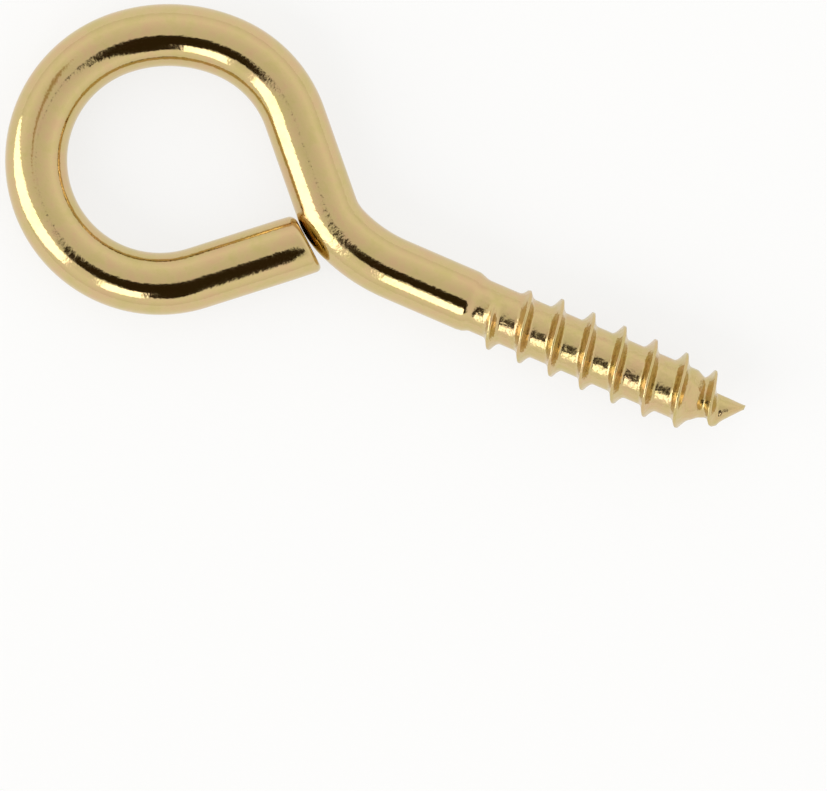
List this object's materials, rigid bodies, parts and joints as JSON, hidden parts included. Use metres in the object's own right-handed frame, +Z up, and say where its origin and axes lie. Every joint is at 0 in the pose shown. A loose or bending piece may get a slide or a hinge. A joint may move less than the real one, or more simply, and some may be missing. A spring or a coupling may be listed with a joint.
{
  "type": "screw eye",
  "caption": "Small screw eye: a wire ring closed against its own neck, on a short shank with a rolled wood-screw thread and a gimlet point.",
  "frame": {"origin": "centre of the eye, on the wire's middle plane", "axes": "+X runs along the shank to the point, rising by 0.86 degrees because the piece lies on its side on the eye and the thread's crests; +Y is across the eye, on the side where the neck stands; +Z is up, square to the plane of the eye within the same 0.86 degrees"},
  "size_m": [0.0379, 0.0152, 0.0039],
  "materials": {
    "screw_eye": "bright brass plating on drawn steel wire, lightly mottled"
  },
  "bodies": {
    "root": {"screw_eye": "screw_eye"}
  },
  "joints": []
}
